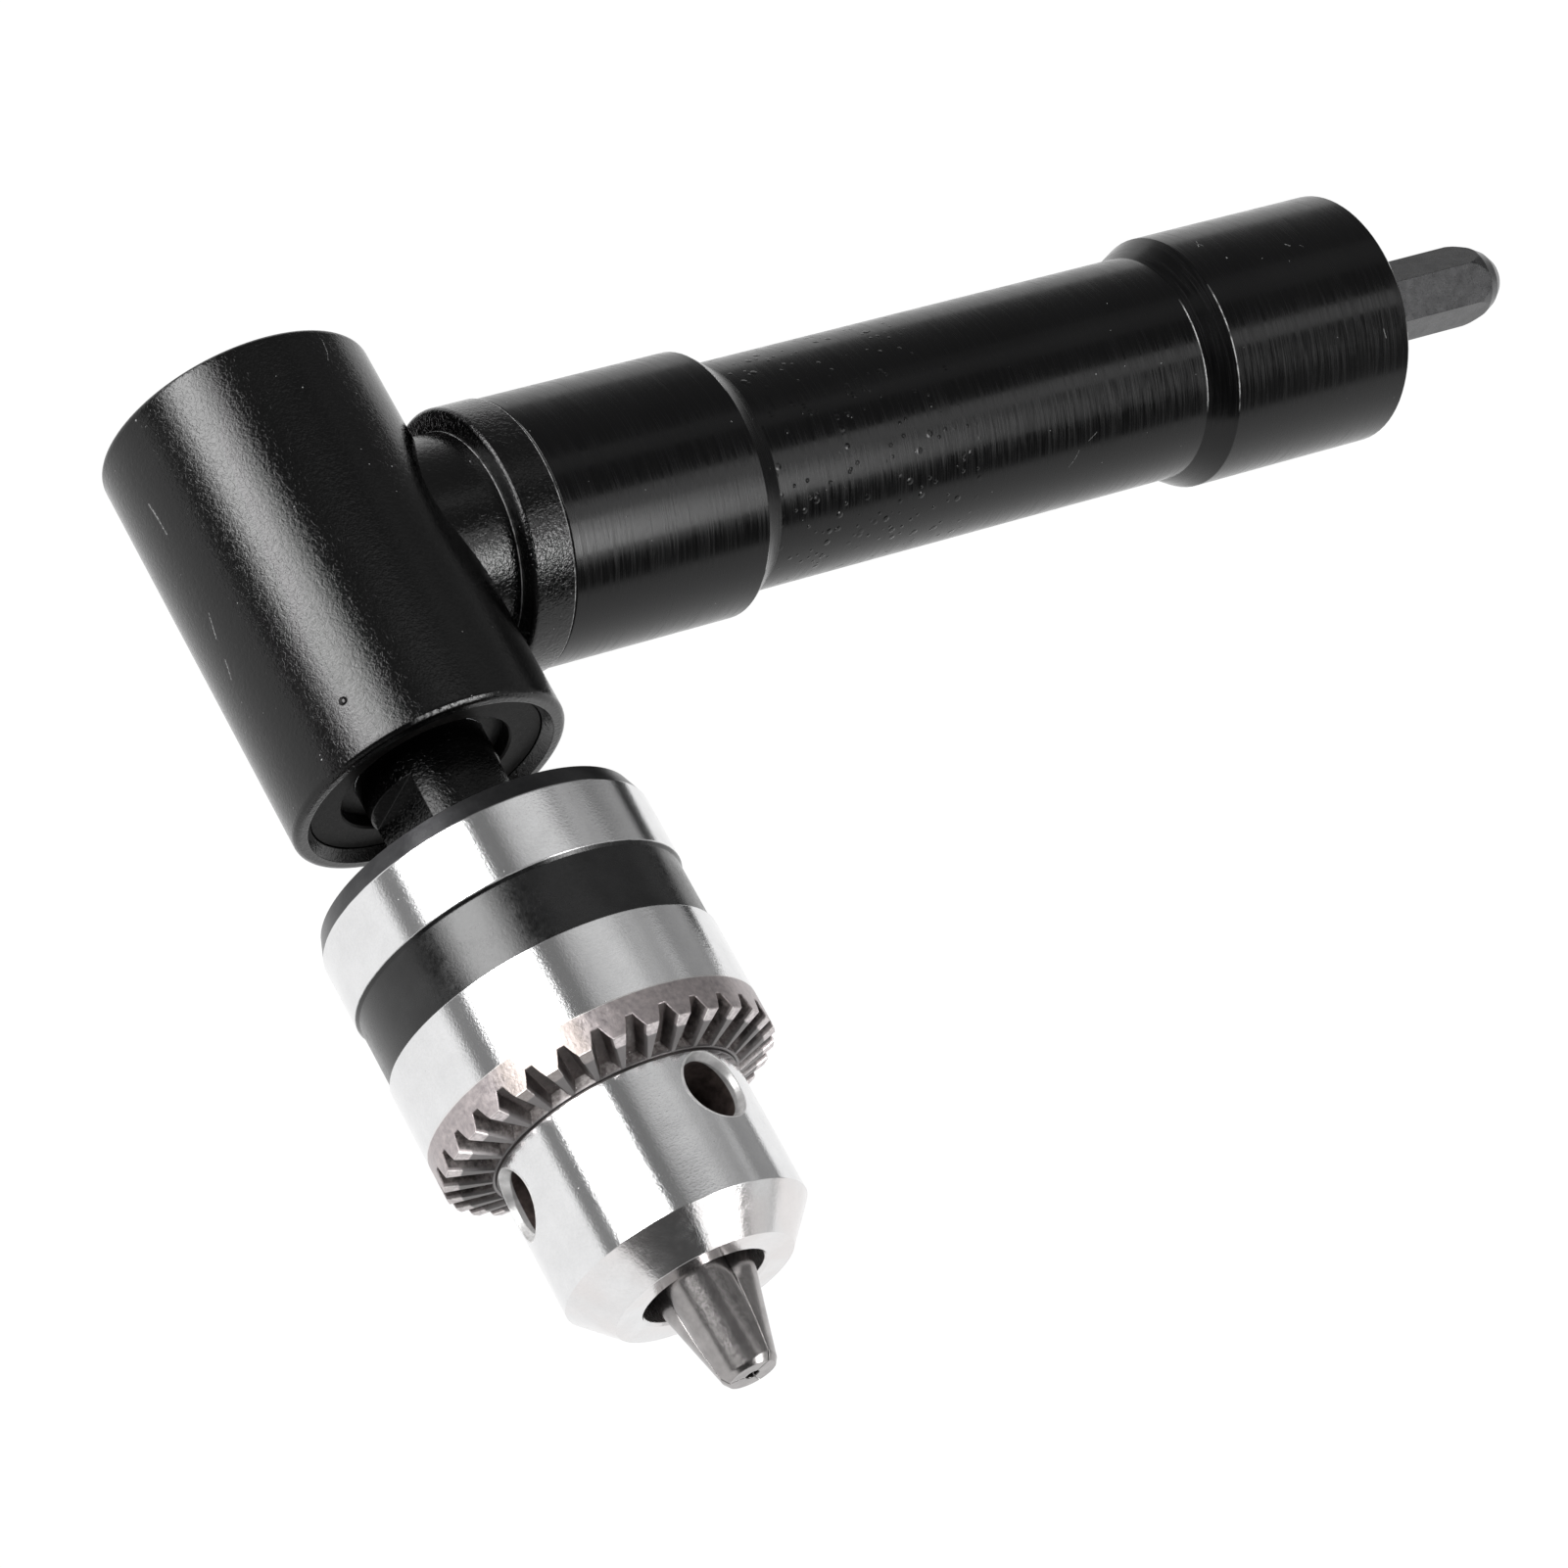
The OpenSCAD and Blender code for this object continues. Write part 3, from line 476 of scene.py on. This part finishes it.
def set_materials():
    head = powder_coat("head_paint", head=True, lines=[
        (on_chuck(15.25, 169.7, -12.4), on_chuck(15.25, 169.0, -10.4), 0.15), (on_chuck(15.25, 169.0, -10.2), on_chuck(15.25, 168.7, -8.4), 0.11),
        (on_chuck(15.25, 168.8, 1.6), on_chuck(15.25, 172.0, 4.2), 0.10), (on_chuck(15.25, 173.4, 6.6), on_chuck(15.25, 176.0, 8.6), 0.12),
        (on_chuck(15.25, 69.1, -19.6), on_chuck(15.25, 70.0, -18.0), 0.06), (on_chuck(15.25, 70.0, -18.0), on_chuck(15.25, 72.0, -16.9), 0.06),
        (on_chuck(15.25, 61.2, -18.7), on_chuck(15.25, 57.3, -20.4), 0.05)])
    spin = powder_coat("spindle_black", seed=2.0, peel_mm=0.062, soft=0.07, spec=0.24)
    handle = turned_black("handle_black", lines=[
        (on_handle(12.5, 144.1, 89.1), on_handle(12.5, 147.6, 88.0), 0.05), (on_handle(12.5, 151.7, 86.8), on_handle(12.5, 155.8, 86.4), 0.05),
        (on_handle(12.5, 155.8, 86.4), on_handle(12.5, 160.1, 85.7), 0.05), (on_handle(14.1, 59.8, 110.7), on_handle(14.1, 65.0, 110.1), 0.06),
        (on_handle(14.1, 63.0, 110.4), on_handle(14.1, 65.1, 110.7), 0.05), (on_handle(14.1, 77.4, 119.8), on_handle(14.1, 79.2, 120.2), 0.07),
        (on_handle(14.1, 80.1, 121.4), on_handle(14.1, 81.7, 121.7), 0.05), (on_handle(14.1, 129.0, 127.6), on_handle(14.1, 133.2, 127.8), 0.07)])
    nose = nose_material()
    sleeve = sleeve_material()
    jaw = dark_steel("jaw_steel", 0.27, 0.38, 0.18, 0.27, scale=0.5, tint=(1.0, 0.955, 0.945), bump=0.007, radius=0.22)
    shank = dark_steel("shank_steel", 0.070, 0.105, 0.24, 0.36, bump=0.008)
    ring = dark_steel("retainer_black", 0.003, 0.009, 0.26, 0.40, metal=0.0, tint=(1.0, 0.95, 0.92), spec=0.04)
    spring = dark_steel("spring_steel", 0.08, 0.16, 0.3, 0.45)
    gear = dark_steel("gear_steel", 0.28, 0.42, 0.3, 0.42)
    nut = dark_steel("nut_steel", 0.3, 0.45, 0.3, 0.4)
    m, p = polished("race_steel", (0.72, 0.73, 0.75), r0=0.14, r1=0.26)
    race = m.set(**p)
    m, p = polished("ball_steel", (0.85, 0.85, 0.87), r0=0.05, r1=0.1)
    ball = m.set(**p)
    m, p = polished("pin_steel", (0.7, 0.7, 0.72), r0=0.2, r1=0.3)
    pin = m.set(**p)
    seal, cage = rubber("seal_rubber"), brass("cage_brass")
    for n in NODES:
        if n == "head_housing": mat = head
        elif n == "spindle": mat = spin
        elif n == "handle": mat = handle
        elif n == "bearing_retainer": mat = ring
        elif n.endswith("circlip"): mat = spring
        elif n.endswith("seals"): mat = seal
        elif n.endswith("race"): mat = race
        elif n.endswith("balls"): mat = ball
        elif n.endswith("cage"): mat = cage
        elif n == "chuck_body": mat = nose
        elif n == "chuck_sleeve": mat = sleeve
        elif n.startswith("jaw"): mat = jaw
        elif n.startswith("nut"): mat = nut
        elif n == "input_shaft": mat = shank
        elif n.endswith("gear"): mat = gear
        else: mat = pin
        assign(n, mat)


# ------------------------------------------------------------------ floor and lights
def add_floor():
    me = bpy.data.meshes.new("floor")
    s = 6.0
    me.from_pydata([(-s, -s, 0), (s, -s, 0), (s, s, 0), (-s, s, 0)], [], [(0, 1, 2, 3)])
    o = bpy.data.objects.new("floor", me)
    scene.collection.objects.link(o)
    m = Mat("floor_white")
    n = m.noise(0.02, 3.0, 0.5)
    m.set(color=m.mix(n, (0.018, 0.018, 0.018), (0.022, 0.022, 0.022)), rough=0.8, spec=0.0)
    x, y, z = m.xyz()
    x, y = m.math("ADD", x, ORIGIN[0]), m.math("ADD", y, ORIGIN[1])
    far = m.math("SQRT", m.math("ADD", m.math("MULTIPLY", x, x), m.math("MULTIPLY", y, y)))
    m.put(m.bsdf.inputs["Emission Color"], m.mix(m.ramp(far, 300.0, 900.0), (1.0, 1.0, 1.0), (0.42, 0.42, 0.42)))
    m.bsdf.inputs["Emission Strength"].default_value = 1.0
    me.materials.append(m.m)


def add_light(name, place, aim, size_x, size_y, radiance, roll=(0, 1, 0)):
    """A soft box: place and aim in metres from the crossing point, with its long side along roll."""
    lamp = bpy.data.lights.new(name, "AREA")
    lamp.shape = "RECTANGLE"
    lamp.size, lamp.size_y = size_x, size_y
    lamp.energy = radiance * math.pi * size_x * size_y
    o = bpy.data.objects.new(name, lamp)
    scene.collection.objects.link(o)
    p = Vector(place) + Vector(ORIGIN * MM)
    d = (Vector(aim) - Vector(place)).normalized()
    y = Vector(roll)
    y = (y - d * y.dot(d)).normalized()
    x = y.cross(-d).normalized()
    m = Matrix.Identity(4)
    for i in range(3):
        m[i][0], m[i][1], m[i][2], m[i][3] = x[i], y[i], -d[i], p[i]
    o.matrix_world = m


def add_world():
    """Dim grey room, lighter towards the horizon and on the left."""
    w = bpy.data.worlds.new("studio")
    scene.world = w
    w.use_nodes = True
    t = w.node_tree
    bg = t.nodes["Background"]
    co = t.nodes.new("ShaderNodeTexCoord")
    sp = t.nodes.new("ShaderNodeSeparateXYZ")
    t.links.new(co.outputs["Generated"], sp.inputs[0])

    def ramp(sock, a, b, lo, hi):
        n = t.nodes.new("ShaderNodeMapRange")
        t.links.new(sock, n.inputs["Value"])
        for k, v in (("From Min", a), ("From Max", b), ("To Min", lo), ("To Max", hi)):
            n.inputs[k].default_value = v
        return n.outputs[0]

    def op(kind, a, b):
        n = t.nodes.new("ShaderNodeMath")
        n.operation = kind
        for i, v in enumerate((a, b)):
            if isinstance(v, float):
                n.inputs[i].default_value = v
            else:
                t.links.new(v, n.inputs[i])
        return n.outputs[0]

    x, y, z = sp.outputs
    glow = op("MULTIPLY", op("MULTIPLY", ramp(z, 0.3, 0.0, 0.0, 0.22), ramp(x, 0.45, 0.8, 1.0, 0.2)), ramp(x, -0.84, -0.90, 1.0, 0.1))
    left = op("MULTIPLY", op("MULTIPLY", ramp(x, -0.6, -0.8, 0.0, 0.10), ramp(x, -0.84, -0.90, 1.0, 0.3)), ramp(y, -0.3, 0.0, 0.0, 1.0))
    level = op("ADD", op("ADD", glow, left), 0.20)
    # darker in front of the chuck, lighter to the right of that
    level = op("MULTIPLY", level, op("SUBTRACT", 1.0, op("MULTIPLY", ramp(y, -0.25, -0.55, 0.0, 0.65), ramp(x, 0.66, 0.54, 0.0, 1.0))))
    level = op("ADD", level, op("MULTIPLY", ramp(x, 0.58, 0.72, 0.0, 0.5), ramp(y, -0.3, -0.5, 0.0, 1.0)))
    t.links.new(level, bg.inputs[1])
    bg.inputs[0].default_value = (1, 1, 1, 1)


def add_lights():
    add_world()
    # long soft box on the head's side, brightest along its middle, seen in every surface round the chuck axis
    for name, lo, hi, y0, y1, level in (("panel_left", 24.3, 74.4, -0.15, 0.95, 2.1), ("panel_left_b", 28.5, 69.5, -0.15, 0.95, 2.8),
                                        ("panel_left_c", 36.0, 65.0, -0.15, 0.95, 4.4), ("panel_left_d", 44.0, 62.0, 0.33, 0.95, 5.0)):
        a = math.radians((lo + hi) / 2)
        wide = 2 * 0.75 * math.tan(math.radians((hi - lo) / 2))
        yc = (y0 + y1) / 2
        add_light(name, (-0.75 * math.sin(a), yc, 0.75 * math.cos(a)), (0, yc, 0), wide, y1 - y0, level, (0, 1, 0))
    # weaker soft box in front of the handle
    for name, lo, hi, x0, x1, level in (("panel_front", 16.6, 31.0, 0.20, 0.80, 1.7), ("panel_front_b", 31.0, 62.0, 0.452, 0.572, 1.6),
                                        ("panel_front_c", 40.0, 60.0, 0.452, 0.514, 1.8), ("panel_front_d", 43.0, 60.0, 0.20, 0.430, 13.5),
                                        ("panel_front_e", 33.0, 43.0, 0.20, 0.436, 8.0),
                                        ("panel_nose", 58.5, 68.0, 0.04, 0.45, 1.7)):
        b = math.radians((lo + hi) / 2)
        wide = 2 * 0.75 * math.tan(math.radians((hi - lo) / 2))
        xc = (x0 + x1) / 2
        add_light(name, (xc, -0.75 * math.sin(b), 0.75 * math.cos(b)), (xc, 0, 0), x1 - x0, wide, level, (0, 1, 0))
    # dim narrow panels over the chuck, brightest along their middle, and one to its right
    for k, (x0, x1, y0, y1, level) in enumerate(((-0.090, 0.50, 0.10, 0.26, 0.15), (-0.052, 0.50, 0.10, 0.26, 0.08), (-0.020, 0.39, 0.10, 0.26, 0.10),
                                                 (0.042, 0.333, 0.10, 0.26, 0.07), (0.106, 0.267, 0.12, 0.26, 0.05), (-0.020, 0.42, 0.205, 0.26, 0.08),
                                                 (0.05, 0.33, 0.205, 0.26, 0.08), (0.50, 1.15, 0.10, 0.43, 0.17), (0.42, 0.62, 0.20, 0.32, 0.06))):
        xc, yc = (x0 + x1) / 2, (y0 + y1) / 2
        add_light("panel_top_%d" % k, (xc, yc, 0.60 + 0.001 * k), (xc, yc, 0), x1 - x0, y1 - y0, level, (0, 1, 0))
    add_light("panel_right", (0.80, 0.0, 0.33), (0.0, 0.0, 0.33), 0.56, 0.62, 0.10, (0, 1, 0))


add_camera()
set_materials()
add_floor()
add_lights()
